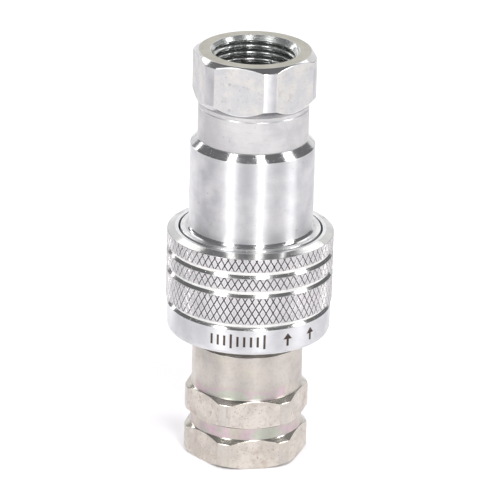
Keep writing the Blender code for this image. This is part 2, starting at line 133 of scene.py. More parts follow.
# Laser marks on the sleeve's smooth band, in millimetres round it and up it from their middle.
# A span is its middle and its half height.
BAND_R = 15.85
MARK_HEIGHT = 3.0
MARK_SOFT = 0.03
BAR_PITCH = 1.3
BAR_WIDTH = 0.45
BAR_HALF_HEIGHT = 1.05
TALL_BAR_EVERY = 5
TALL_BAR_EXTRA = 0.4
BARS_CENTRE = -2.0
BARS_HALF = 5.9
ARROW_CENTRES = (8.0, 13.5)
ARROW_TIP = 1.3
ARROW_SLOPE = 0.8
HEAD_SPAN = (0.7, 0.6)
SHAFT_SPAN = (-0.5, 0.8)
SHAFT_HALF_WIDTH = 0.25
LASER_BROWN = (0.10, 0.075, 0.065)

# Heights on the plug where its film is thickest: the foot of its round body, and its waist
FILM_FOOT_Z = 14.9
FILM_WAIST_Z = 7.2

# Inner pieces. A spring's end turns stay closed for a while, and then open to the full pitch.
SPRING_STEPS = 48
CLOSED_TURNS = 0.6
OPENING_TURNS = 0.35
COIL_CLEARANCE = 1.02
SEAL_POINTS = 24
SEAL_FLASH = 0.03
SPOKES = 3
HALF_WINDOW_ANGLE = math.radians(44.0)

BALLS = sorted(name for name in frame["nodes"] if name.startswith("lock_ball_"))


# ---- mesh tools


def box_mm(node):
    low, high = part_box(node)
    return low / MM, high / MM


def ease(share):
    """Smooths a ramp from 0 to 1 at both ends."""
    return share * share * (3.0 - 2.0 * share)


def uniform_columns(count):
    return np.arange(count) * 2.0 * math.pi / count


def hex_columns(flat_angle):
    """Column angles, closer together where the flats meet the round corner strips."""
    edge = HALF_FLAT_ANGLE
    flat = np.linspace(-edge, edge, FLAT_STEPS + 1)
    near_edge = np.radians([0.25, 0.6, 1.2])
    strip = np.linspace(edge, math.radians(60.0) - edge, 9)[1:-1]
    one = np.concatenate([flat, edge - near_edge, -edge + near_edge, edge + near_edge[:2], strip])
    one = np.unique(np.round(one, 9))
    angles = np.concatenate([flat_angle + math.radians(60.0) * i + one for i in range(6)])
    return np.unique(np.round(angles % (2.0 * math.pi), 8))


def off_flat(angle, flat_angle):
    """How far an angle is from the middle of the hexagon's nearest flat."""
    return (angle - flat_angle + math.pi / 6.0) % (math.pi / 3.0) - math.pi / 6.0


def hex_radius(columns, flat_angle):
    """Radius of hexagonal bar with turned corners at each column, with the join slightly rounded."""
    flat = FLAT_R / np.cos(off_flat(columns, flat_angle))
    return -CORNER_BLEND * np.logaddexp(-flat / CORNER_BLEND, -BAR_R / CORNER_BLEND)


def rounded_rows(corners, columns, extra_rows=None):
    """Rows of (r, z) for each column from the corners of a closed outline.

    A corner is (r, z, edge radius); r and z may be arrays, one value per column. extra_rows maps a
    corner's index to how many rows subdivide the straight run after it, or to a list of their z.
    """
    count = len(corners)
    points = np.zeros((count, len(columns), 2))
    radii = np.zeros(count)
    for i, (r, z, edge) in enumerate(corners):
        points[i, :, 0] = r
        points[i, :, 1] = z
        radii[i] = edge
    ahead = np.roll(points, -1, axis=0) - points
    length = np.maximum(np.linalg.norm(ahead, axis=2), 1e-9)
    ahead /= length[..., None]
    behind = -np.roll(ahead, 1, axis=0)
    length_behind = np.roll(length, 1, axis=0)
    cosine = np.clip((ahead * behind).sum(axis=2), -0.999999, 0.999999)
    shorter = np.minimum(length, length_behind)
    reach = np.minimum(radii[:, None] / np.tan(np.arccos(cosine) / 2.0), EDGE_SHARE * shorter)
    support = np.minimum(reach + EDGE_SUPPORT, SUPPORT_SHARE * shorter)
    rows = []
    extra_rows = extra_rows or {}
    for i in range(count):
        corner = points[i]
        start = corner + behind[i] * reach[i][:, None]
        end = corner + ahead[i] * reach[i][:, None]
        rows.append(corner + behind[i] * support[i][:, None])
        for k in range(EDGE_STEPS + 1):
            s = k / EDGE_STEPS
            rows.append((1 - s) ** 2 * start + 2 * s * (1 - s) * corner + s**2 * end)
        leave = corner + ahead[i] * support[i][:, None]
        rows.append(leave)
        if i in extra_rows:
            after = (i + 1) % count
            arrive = points[after] + behind[after] * support[after][:, None]
            rows += rows_between(leave, arrive, extra_rows[i])
    return np.array(rows)


def rows_between(leave, arrive, wanted):
    """Rows along a straight run: as many as wanted, or at the heights wanted."""
    if isinstance(wanted, int):
        shares = [(k + 1) / (wanted + 1) for k in range(wanted)]
    else:
        shares = [(z - leave[0, 1]) / (arrive[0, 1] - leave[0, 1]) for z in wanted]
    return [leave + (arrive - leave) * share for share in shares if 0.0 < share < 1.0]


def add_object(name, data):
    obj = bpy.data.objects.new(name, data)
    bpy.context.scene.collection.objects.link(obj)
    return obj


def mesh_object(name, verts, faces):
    """A clean closed mesh from points in millimetres."""
    mesh = bpy.data.meshes.new(name)
    mesh.from_pydata((verts * MM).tolist(), [], faces)
    bm = bmesh.new()
    bm.from_mesh(mesh)
    bmesh.ops.remove_doubles(bm, verts=bm.verts[:], dist=MERGE_DISTANCE * MM)
    bmesh.ops.delete(bm, geom=[edge for edge in bm.edges if edge.is_wire], context="EDGES")
    bmesh.ops.delete(bm, geom=[vert for vert in bm.verts if not vert.link_faces], context="VERTS")
    bmesh.ops.recalc_face_normals(bm, faces=bm.faces[:])
    mark_edges(bm)
    bm.to_mesh(mesh)
    bm.free()
    obj = add_object(name, mesh)
    smooth(obj)
    return obj


def mark_edges(bm):
    """Stores how sharply the surface turns outwards at each corner point, from 0 (flat) to 1."""
    layer = bm.verts.layers.float.new(EDGE_WEAR)
    for vert in bm.verts:
        sharpest = max(edge.calc_face_angle_signed(0.0) for edge in vert.link_edges)
        vert[layer] = min(max((sharpest - WEAR_FROM) / (WEAR_FULL - WEAR_FROM), 0.0), 1.0)


def smooth(obj):
    obj.data.shade_smooth()
    obj.data.set_sharp_from_angle(angle=SHARP_ANGLE)


def ring_faces(a, b, sides):
    """Faces between two rings of points, which start at index a and at index b."""
    return [(a + k, a + (k + 1) % sides, b + (k + 1) % sides, b + k) for k in range(sides)]


def revolve(name, rows, columns):
    """A closed mesh from rows of (r, z), one pair per column."""
    x = rows[..., 0] * np.cos(columns)
    y = rows[..., 0] * np.sin(columns)
    verts = np.stack([x, y, rows[..., 1]], axis=-1).reshape(-1, 3)
    count, sides = rows.shape[:2]
    faces = []
    for row in range(count):
        faces += ring_faces(row * sides, (row + 1) % count * sides, sides)
    return mesh_object(name, verts, faces)


def capped_solids(name, solids):
    """One mesh of closed solids, each a list of rings of points, with a cap on its first and last ring."""
    verts = []
    faces = []
    for rings in solids:
        first = len(verts)
        sides = len(rings[0])
        verts += [point for ring in rings for point in ring]
        for ring_start in range(first, len(verts) - sides, sides):
            faces += ring_faces(ring_start, ring_start + sides, sides)
        faces.append(tuple(range(first, first + sides)))
        faces.append(tuple(range(len(verts) - sides, len(verts))))
    return mesh_object(name, np.array(verts), faces)


def prisms(outlines, bottom, top):
    """A cutter of upright prisms, each on an outline of (x, y) points."""
    solids = [[[(x, y, z) for x, y in outline] for z in (bottom, top)] for outline in outlines]
    return capped_solids("cutter", solids)


def turned(name, corners, count=ROUND_COLUMNS):
    columns = uniform_columns(count)
    return revolve(name, rounded_rows(corners, columns), columns)


def polar(r, angle):
    return r * math.cos(angle), r * math.sin(angle)


def arc_corners(centre_r, centre_z, radius, start_deg, end_deg, steps):
    corners = []
    for angle in np.radians(np.linspace(start_deg, end_deg, steps + 1)):
        r, z = polar(radius, angle)
        corners.append((centre_r + r, centre_z + z, 0.02))
    return corners


def drill(obj, cutter):
    """Cuts the cutter out of the object for good."""
    modifier = obj.modifiers.new("drill", "BOOLEAN")
    modifier.operation = "DIFFERENCE"
    modifier.solver = "EXACT"
    modifier.object = cutter
    graph = bpy.context.evaluated_depsgraph_get()
    mesh = bpy.data.meshes.new_from_object(obj.evaluated_get(graph))
    obj.modifiers.clear()
    obj.data = mesh
    bpy.data.objects.remove(cutter, do_unlink=True)
    smooth(obj)


def mount_angle(name):
    """Direction of a wrench flat about the axis, as the record's mount says."""
    for mount in frame["record"]["mounts"]:
        if mount["name"] == name:
            return math.atan2(mount["axis"][1], mount["axis"][0])
    raise ValueError(f"no mount named {name}")


# ---- threads and knurl


def thread_radius(columns, z, depth):
    """Radius of the threaded bore at each column and height, and the depth below the port's mouth."""
    phase = (z / THREAD_PITCH - columns / (2.0 * math.pi)) % 1.0
    ridge = 1.0 - np.abs(2.0 * phase - 1.0)
    profile = np.clip(0.5 + THREAD_FLANK * (ridge - 0.5), 0.0, 1.0)
    profile = (ease(profile) + profile) / 2.0
    run_out = np.clip((PORT_DEPTH - THREAD_RUN_OUT - depth) / THREAD_PITCH, 0.0, 1.0)
    return THREAD_MINOR_R + (THREAD_MAJOR_R - THREAD_MINOR_R) * profile * run_out


def cut_thread(rows, columns, mouth_z, inward):
    """Opens the port's wall out to the thread. inward is -1 for a port that opens upwards."""
    r = rows[..., 0]
    z = rows[..., 1]
    depth = (z - mouth_z) * inward
    in_port = (r <= PORT_MOUTH_R + TOLERANCE) & (r >= THREAD_MINOR_R - TOLERANCE)
    in_port &= (depth >= -TOLERANCE) & (depth < PORT_DEPTH)
    cut = np.maximum(r, thread_radius(columns[None, :], z, depth))
    rows[..., 0] = np.where(in_port, cut, r)


def knurl_columns():
    return uniform_columns(KNURL_STARTS * KNURL_STEPS)


def knurl_row_height(crest_r):
    step = 2.0 * math.pi * crest_r / (KNURL_STARTS * KNURL_STEPS)
    return step / math.tan(math.radians(KNURL_HELIX))


def knurl_rows(crest_r, bottom, top, start):
    """Heights of the knurl's grid between bottom and top."""
    step = knurl_row_height(crest_r)
    first = math.ceil((bottom - start) / step)
    last = math.floor((top - start) / step)
    return [start + step * k for k in range(first, last + 1)]


def cut_knurl(rows, crest_r, bands, start):
    """Presses two hands of V grooves into each band, a (bottom, top) pair, of the crest's surface."""
    z = rows[..., 1]
    along = (z - start) / knurl_row_height(crest_r)
    around = np.arange(rows.shape[1])[None, :]
    depth = np.zeros_like(z)
    for hand in (1.0, -1.0):
        place = (around + hand * along) % KNURL_STEPS
        distance = np.minimum(place, KNURL_STEPS - place)
        depth = np.maximum(depth, np.clip(1.0 - distance / KNURL_GROOVE_STEPS, 0.0, 1.0))
    inside = np.zeros_like(z)
    for bottom, top in bands:
        inside = np.maximum(inside, np.clip(np.minimum(z - bottom, top - z) / KNURL_RUN_OUT, 0.0, 1.0))
    inside = np.where(rows[..., 0] > crest_r - TOLERANCE, inside, 0.0)
    rows[..., 0] -= KNURL_DEPTH * depth * inside


def sharpen_grooves(piece, crest_r):
    """Splits the faces at the knurl's grooves, so that each groove's floor is one straight line of edges."""
    bm = bmesh.new()
    bm.from_mesh(piece.data)
    for face in [face for face in bm.faces if len(face.verts) == 4]:
        radii = [math.hypot(vert.co.x, vert.co.y) / MM for vert in face.verts]
        cut = [radius < crest_r - BELOW_CREST for radius in radii]
        in_band = max(radii) > crest_r - TOLERANCE and min(radii) > crest_r - KNURL_DEPTH - BELOW_CREST
        if not in_band or not any(cut):
            continue
        # Split along the lower diagonal, but across it where a single corner is cut
        first = int(radii[0] + radii[2] >= radii[1] + radii[3])
        if sum(cut) == 1:
            first = 1 - first
        bmesh.utils.face_split(face, face.verts[first], face.verts[first + 2])
    bm.to_mesh(piece.data)
    bm.free()
    smooth(piece)


# ---- main pieces


def plug_body(node):
    flat_angle = mount_angle("plug_upper_wrench_flat")
    columns = hex_columns(flat_angle)
    bar = hex_radius(columns, flat_angle)
    end_r = 11.2
    edge_z = np.maximum(bar - end_r, 0.0) * 0.575
    waist_r = 10.9
    probe_r = 8.65
    bore_r = 6.6
    tip_z = box_mm(node)[1].z
    shoulder_z = box_mm("locking_sleeve")[0].z - 2.25
    corners = [
        # Bevelled end and lower hexagon
        (PORT_MOUTH_R, 0.0, 0.05), (np.minimum(bar, end_r) - 0.02, 0.0, 0.08),
        (bar, edge_z + 0.02, 0.12), (bar, 5.1 + (BAR_R - bar) * 0.8, 0.14),
        # Waist and upper hexagon
        (waist_r, 6.0, 0.3), (waist_r, 8.4, 0.25),
        (bar, 8.4 + (bar - waist_r) * 0.545, 0.14), (bar, 13.35 + (BAR_R - bar) * 0.78, 0.14),
        # Round body and its shoulder
        (10.85, 14.25, 0.06), (10.75, 14.6, 0.3), (10.75, shoulder_z - 0.3, 0.12), (10.45, shoulder_z, 0.08),
        # Probe, the groove for the balls, and the tip
        (probe_r, shoulder_z, 0.3), (probe_r, 30.75, 0.12), (7.6, 31.8, 0.2), (7.6, 33.4, 0.2),
        (probe_r, 34.45, 0.12), (probe_r, tip_z - 1.0, 0.3), (7.9, tip_z, 0.15),
        # Valve seat, bore and the circlip's groove
        (4.9, tip_z, 0.2), (4.9, tip_z - 1.6, 0.15), (bore_r, tip_z - 3.3, 0.2), (bore_r, 15.5, 0.04),
        (7.3, 15.5, 0.04), (7.3, 14.3, 0.04), (bore_r, 14.3, 0.04), (bore_r, 12.88, 0.1),
        # Port
        (THREAD_MINOR_R, PORT_DEPTH, 0.1), (THREAD_MINOR_R, PORT_MOUTH_R - THREAD_MINOR_R, 0.05),
    ]
    last = len(corners) - 1
    rows = rounded_rows(corners, columns, {last - 1: THREAD_ROWS, last: MOUTH_ROWS})
    cut_thread(rows, columns, 0.0, 1)
    return revolve(f"{node}_turned", rows, columns)


def socket_adapter(node):
    low, high = box_mm(node)
    flat_angle = mount_angle("socket_wrench_flat")
    columns = hex_columns(flat_angle)
    bar = hex_radius(columns, flat_angle)
    neck_r = 10.65
    top = high.z
    end = low.z
    corners = [
        # Spigot with the seal's groove
        (6.2, end, 0.15), (9.1, end, 0.1), (9.5, end + 0.4, 0.1), (9.5, end + 4.2, 0.1),
        (8.0, end + 4.2, 0.1), (8.0, end + 5.85, 0.1), (neck_r, end + 5.85, 0.08),
        # Neck, with a fine line turned in it
        (neck_r, top - 11.1, 0.05), (neck_r - 0.08, top - 10.98, 0.05), (neck_r - 0.08, top - 10.78, 0.05),
        (neck_r, top - 10.6, 0.05), (neck_r, top - 10.2, 0.2),
        # Hexagon and its bevelled face
        (bar, top - 10.2 + (bar - neck_r) * 1.26, 0.16), (bar, top - 0.8 - (bar - BAR_R) * 0.645, 0.16),
        (10.76, top, 0.1),
        # Port, down to its cone
        (PORT_MOUTH_R, top, 0.06), (THREAD_MINOR_R, top - (PORT_MOUTH_R - THREAD_MINOR_R), 0.05),
        (THREAD_MINOR_R, top - PORT_DEPTH, 0.1), (6.2, top - PORT_DEPTH - 1.28, 0.1),
    ]
    last = len(corners) - 1
    rows = rounded_rows(corners, columns, {last - 3: MOUTH_ROWS, last - 2: THREAD_ROWS})
    cut_thread(rows, columns, top, -1)
    return revolve(f"{node}_turned", rows, columns)


def socket_body(node):
    low, high = box_mm(node)
    front = low.z
    rear = high.z
    flange_r = high.x
    flange_top = rear - 18.51
    fillet_r = 1.04
    fillet = arc_corners(BAR_R + fillet_r, flange_top + fillet_r, fillet_r, 270.0, 180.0, 5)
    corners = [
        # Nose with the snap ring's groove
        (9.35, front, 0.08), (11.4, front, 0.08), (11.7, front + 0.3, 0.08), (11.7, front + 1.3, 0.04),
        (11.2, front + 1.3, 0.04), (11.2, front + 2.5, 0.04), (11.7, front + 2.5, 0.04),
        # Flange
        (11.7, flange_top - 1.66, 0.1), (flange_r, flange_top - 1.66, 0.08), (flange_r, flange_top, 0.28),
        # Cylinder and its bevelled rear edge
        *fillet, (BAR_R, rear - 1.35, 0.1), (10.65, rear, 0.05), (9.9, rear, 0.05), (9.6, rear - 0.3, 0.05),
        # Bore for the adapter, and the valve seat
        (9.6, rear - 8.07, 0.05), (8.8, rear - 8.07, 0.05), (8.8, front + 17.5, 0.1),
        (6.2, front + 14.9, 0.1), (6.2, front + 14.1, 0.1),
        # Bore for the probe, with the seal's groove
        (8.75, front + 14.1, 0.1), (8.75, front + 12.6, 0.05), (10.2, front + 12.6, 0.05),
        (10.2, front + 9.2, 0.05), (8.75, front + 9.2, 0.05), (8.75, front + 0.6, 0.08),
    ]
    body = turned(f"{node}_turned", corners)
    drill(body, ball_holes())
    return body


def ball_holes():
    """One cutter with a hole for each ball, narrower towards the bore."""
    outline = ((1.88, 7.25), (1.88, 8.3), (2.1, 9.6), (2.1, 13.2))
    sides = 48
    turns = [2.0 * math.pi * (k + 0.5) / sides for k in range(sides)]
    up = Vector((0.0, 0.0, 1.0))
    solids = []
    for node in BALLS:
        low, high = box_mm(node)
        middle = (low + high) / 2.0
        out = Vector((middle.x, middle.y, 0.0)).normalized()
        side = up.cross(out)
        circle = [side * math.cos(turn) + up * math.sin(turn) for turn in turns]
        axis = up * middle.z
        solids.append([[axis + out * along + point * r for point in circle] for r, along in outline])
    return capped_solids("cutter", solids)


def knurl_bands():
    """The (bottom, top) of the three knurled bands."""
    low, high = box_mm("locking_sleeve")
    bottoms = [low.z + 6.65, *[high.z - groove + GROOVE_HEIGHT / 2.0 for groove in SLEEVE_GROOVES]]
    tops = [*[high.z - groove - GROOVE_HEIGHT / 2.0 for groove in SLEEVE_GROOVES], high.z - RIM_HEIGHT]
    return list(zip(bottoms, tops))


def locking_sleeve(node):
    low, high = box_mm(node)
    mouth = low.z
    rear = high.z
    crest = high.x
    band = crest - 0.25
    bands = knurl_bands()
    start = bands[0][0]
    corners = [
        # Smooth front band, and the groove behind it
        (14.0, mouth, 0.15), (14.9, mouth, 0.2), (band - 0.25, mouth + 0.28, 0.3), (band, mouth + 0.95, 0.4),
        (band, mouth + 5.3, 0.04), (band - GROOVE_DEPTH, mouth + 5.85, 0.05),
        (band - GROOVE_DEPTH, start - 0.04, 0.03),
    ]
    extra = {}
    for bottom, top in bands:
        corners.append((crest, bottom, 0.04))
        extra[len(corners) - 1] = knurl_rows(crest, bottom, top, start)
        if top == bands[-1][1]:
            break
        corners += [
            (crest, top, 0.05),
            (crest - GROOVE_DEPTH, top + 0.58, 0.05),
            (crest - GROOVE_DEPTH, top + GROOVE_HEIGHT - 0.04, 0.03),
        ]
    corners += [
        # Rim and rear face
        (crest, rear - RIM_HEIGHT, 0.08), (14.6, rear, 0.1), (13.95, rear, 0.08),
        # Room for the spring, and the land over the balls
        (13.95, rear - 11.1, 0.1), (11.92, rear - 11.1, 0.08), (11.92, mouth + 6.85, 0.08),
        # Room for the balls when the sleeve is back, and the mouth
        (12.95, mouth + 5.066, 0.08), (12.95, mouth + 3.7, 0.05), (13.5, mouth + 3.7, 0.05),
        (13.5, mouth + 0.5, 0.08),
    ]
    columns = knurl_columns()
    rows = rounded_rows(corners, columns, extra)
    cut_knurl(rows, crest, bands, start)
    sleeve = revolve(f"{node}_knurled", rows, columns)
    sharpen_grooves(sleeve, crest)
    return sleeve


# ---- inner pieces


def wire(path, radius, sides=14):
    """Rings of points round a path that winds about the axis."""
    along = np.gradient(path, axis=0)
    along /= np.linalg.norm(along, axis=1)[:, None]
    out = path * (1.0, 1.0, 0.0)
    out /= np.linalg.norm(out, axis=1)[:, None]
    up = np.cross(out, along)
    turn = uniform_columns(sides)[:, None]
    return path[:, None] + radius * (out[:, None] * np.cos(turn) + up[:, None] * np.sin(turn))


def spring(node, wire_r, turns):
    """A compression spring with closed ends ground flat, in the space of its CAD node."""
    low, high = box_mm(node)
    steps = round(turns * SPRING_STEPS)
    wound = np.linspace(0.0, turns, steps + 1)
    opening = ease(np.clip((np.minimum(wound, turns - wound) - CLOSED_TURNS) / OPENING_TURNS, 0.0, 1.0))
    mean_opening = (opening[1:] + opening[:-1]).sum() / 2.0 / steps
    closed_pitch = 2.0 * wire_r * COIL_CLEARANCE
    mean_pitch = (high.z - low.z - wire_r) / turns
    pitch = closed_pitch + (mean_pitch - closed_pitch) / mean_opening * opening
    rise = np.concatenate([[0.0], np.cumsum((pitch[1:] + pitch[:-1]) / 2.0)]) * turns / steps
    angle = 2.0 * math.pi * wound
    mean_r = high.x - wire_r
    heights = low.z + wire_r / 2.0 + rise
    rings = wire(np.stack([mean_r * np.cos(angle), mean_r * np.sin(angle), heights], axis=-1), wire_r)
    rings[..., 2] = np.clip(rings[..., 2], low.z, high.z)
    return capped_solids(f"{node}_wound", [rings])


def o_ring(node):
    """A moulded O-ring with its fine flash line inside and outside."""
    low, high = box_mm(node)
    half_height = (high.z - low.z) / 2.0
    inner = inner_radius(node)
    half_width = (high.x - inner) / 2.0
    corners = []
    for i in range(SEAL_POINTS):
        angle = 2.0 * math.pi * i / SEAL_POINTS
        r = inner + half_width + half_width * math.cos(angle)
        z = (low.z + high.z) / 2.0 + half_height * math.sin(angle)
        if i % (SEAL_POINTS // 2) == 0:
            foot_r = r - SEAL_FLASH * math.cos(angle)
            corners += [(foot_r, z - 0.05, 0.0), (r, z, 0.0), (foot_r, z + 0.05, 0.0)]
        else:
            corners.append((r, z, 0.0))
    return turned(f"{node}_moulded", corners, SMALL_COLUMNS)


def inner_radius(node):
    """The smallest distance from the axis to the node's corners."""
    points = np.array([vert.co.xy for vert in frame["nodes"][node].data.vertices])
    return float(np.linalg.norm(points, axis=1).min()) / MM


def backup_ring(node):
    """A PTFE ring whose face under the O-ring is hollowed to its curve."""
    low, high = box_mm(node)
    outer = high.x
    inner = inner_radius(node)
    middle = (inner + outer) / 2.0
    corners = [
        (inner, low.z, 0.04),
        (outer, low.z, 0.06),
        (outer, high.z, 0.04),
        (middle + 0.35, high.z - 0.08, 0.1),
        (middle, high.z - 0.16, 0.2),
        (middle - 0.35, high.z - 0.08, 0.1),
        (inner, high.z, 0.03),
    ]
    return turned(f"{node}_turned", corners, SMALL_COLUMNS)


def open_angles(half_gap_deg, count):
    """Angles round a ring whose gap is about angle 0, and how far each is from the gap."""
    start = math.radians(half_gap_deg)
    angles = np.linspace(start, 2.0 * math.pi - start, count)
    return angles, np.minimum(angles - start, 2.0 * math.pi - start - angles)


def open_ring(name, angles, inner, outer, bottom, top):
    """A flat open ring with bevelled edges. inner and outer hold one radius for each angle."""
    edge = 0.12
    rings = []
    for angle, inner_r, outer_r in zip(angles, inner, outer):
        section = [
            (inner_r + edge, bottom),
            (outer_r - edge, bottom),
            (outer_r, bottom + edge),
            (outer_r, top - edge),
            (outer_r - edge, top),
            (inner_r + edge, top),
            (inner_r, top - edge),
            (inner_r, bottom + edge),
        ]
        rings.append([(*polar(r, angle), z) for r, z in section])
    return capped_solids(name, [rings])


def sleeve_snap_ring(node):
    """A wire ring of rectangular section, whose ends are rounded off towards its gap."""
    low, high = box_mm(node)
    inner = inner_radius(node)
    angles, from_gap = open_angles(10.0, 161)
    taper = 0.35 * np.clip(1.0 - from_gap * inner / 0.8, 0.0, 1.0) ** 2
    return open_ring(f"{node}_formed", angles, inner + taper, -low.x - taper, low.z, high.z)


def plug_circlip(node):
    """An internal circlip: deeper opposite its gap, with a pierced lug at each end."""
    low, high = box_mm(node)
    outer_r = -low.x
    lug_length = 2.3
    hole_r = 0.5
    angles, from_gap = open_angles(20.0, 181)
    depth = 1.15 + 0.4 * np.cos(angles / 2.0 - math.pi / 2.0) ** 4
    depth += 0.9 * ease(np.clip((lug_length - from_gap * outer_r) / 0.5, 0.0, 1.0))
    outer = np.full_like(depth, outer_r)
    ring = open_ring(f"{node}_stamped", angles, outer - depth, outer, low.z, high.z)
    hole_x, hole_y = polar(outer_r - 1.25, angles[0] + 1.05 / outer_r)
    circle = [polar(hole_r, turn) for turn in uniform_columns(32)]
    outlines = [[(hole_x + x, side * hole_y + y) for x, y in circle] for side in (1.0, -1.0)]
    drill(ring, prisms(outlines, low.z - 1.0, high.z + 1.0))
    return ring


def poppet(node, nose_z, away, steps):
    """A turned poppet from its nose. steps are (r, distance from the nose, edge radius)."""
    corners = [(r, nose_z + away * along, edge) for r, along, edge in steps]
    return turned(f"{node}_turned", corners, SMALL_COLUMNS)


def socket_poppet(node):
    low, high = box_mm(node)
    length = high.z - low.z
    steps = [
        # Nose
        (0.0, 0.0, 0.0), (2.9, 0.0, 0.12), (3.4, 0.5, 0.15), (3.4, 7.5, 0.3),
        # Head with the seal's step
        (5.6, 7.5, 0.1), (6.0, 7.9, 0.05), (6.0, 9.6, 0.1), (7.7, 9.6, 0.05), (8.0, 9.9, 0.08),
        (8.0, 11.25, 0.2), (3.4, 11.25, 0.3),
        # Stem
        (3.4, length - 6.7, 0.25), (2.2, length - 6.7, 0.2), (2.2, length, 0.35), (0.0, length, 0.0),
    ]
    return poppet(node, low.z, 1, steps)


def plug_poppet(node):
    low, high = box_mm(node)
    length = high.z - low.z
    steps = [
        # Nose
        (0.0, 0.0, 0.0), (2.5, 0.0, 0.12), (3.0, 0.5, 0.15), (3.0, 1.55, 0.15),
        # Head with the seal's step
        (4.3, 1.55, 0.08), (4.55, 1.8, 0.04), (4.55, 2.75, 0.08), (5.5, 2.75, 0.05), (5.8, 3.05, 0.08),
        (5.8, 4.35, 0.2), (2.6, 4.35, 0.3),
        # Stem
        (2.6, length - 7.6, 0.25), (1.7, length - 7.6, 0.15), (1.7, length, 0.3), (0.0, length, 0.0),
    ]
    return poppet(node, high.z, -1, steps)


def window_outline(middle_r, half_depth):
    """A rectangle with rounded corners round the axis, as (distance round it, distance outwards) points."""
    corner = 0.7
    spacing = 0.5
    outline = []
    for quarter, (side_u, side_v) in enumerate(((1, 1), (-1, 1), (-1, -1), (1, -1))):
        for k in range(7):
            u, v = polar(corner, math.radians(90.0 * quarter + 15.0 * k))
            along = side_u * (HALF_WINDOW_ANGLE * middle_r - corner) + u
            across = side_v * (half_depth - corner) + v
            outline.append((along, across))
    dense = []
    for (a_u, a_v), (b_u, b_v) in zip(outline, outline[1:] + outline[:1]):
        parts = max(1, round(math.hypot(b_u - a_u, b_v - a_v) / spacing))
        dense += [(a_u + (b_u - a_u) * k / parts, a_v + (b_v - a_v) * k / parts) for k in range(parts)]
    return dense


def window_cutter(inner_r, outer_r, bottom, top):
    """The curved windows between the spokes, as one cutter."""
    middle_r = (inner_r + outer_r) / 2.0
    outline = window_outline(middle_r, outer_r - middle_r)
    outlines = []
    for window in range(SPOKES):
        centre = 2.0 * math.pi * window / SPOKES + HALF_WINDOW_ANGLE
        outlines.append([polar(middle_r + across, centre + along / middle_r) for along, across in outline])
    return prisms(outlines, bottom, top)


# Valve guides: radii of the hub, its hole and the ring's inside, the web's depth, and +1 where the hub
# points down from the web or -1 where it points up
GUIDE_SIZES = {
    "socket_valve_guide": (3.6, 2.3, 7.7, 2.1, 1),
    "plug_valve_guide": (2.9, 1.8, 5.4, 1.8, -1),
}


def valve_guide(node):
    """A ring, three spokes and a hub."""
    hub_r, hole_r, ring_r, web_depth, away = GUIDE_SIZES[node]
    low, high = box_mm(node)
    outer_r = high.x
    web_far, hub_end = (high.z, low.z) if away > 0 else (low.z, high.z)
    web_near = web_far - away * web_depth
    corners = [
        (hole_r, hub_end, 0.15),
        (hub_r, hub_end, 0.25),
        (hub_r, web_near, 0.3),
        (outer_r, web_near, 0.15),
        (outer_r, web_far, 0.15),
        (hole_r, web_far, 0.2),
    ]
    guide = turned(f"{node}_machined", corners, SMALL_COLUMNS)
    drill(guide, window_cutter(hub_r + 0.5, ring_r, low.z - 1.0, high.z + 1.0))
    return guide


def lock_ball(node):
    """A bearing ball, turned about its own upright axis."""
    low, high = box_mm(node)
    radius = (high.z - low.z) / 2.0
    latitudes = np.radians(np.linspace(-90.0, 90.0, 33))
    columns = uniform_columns(64)
    rows = np.zeros((len(latitudes), len(columns), 2))
    rows[..., 0] = radius * np.cos(latitudes)[:, None]
    rows[..., 1] = radius * np.sin(latitudes)[:, None]
    ball = revolve(f"{node}_polished", rows, columns)
    ball.data.transform(Matrix.Translation((low + high) / 2.0 * MM))
    return ball


# ---- materials


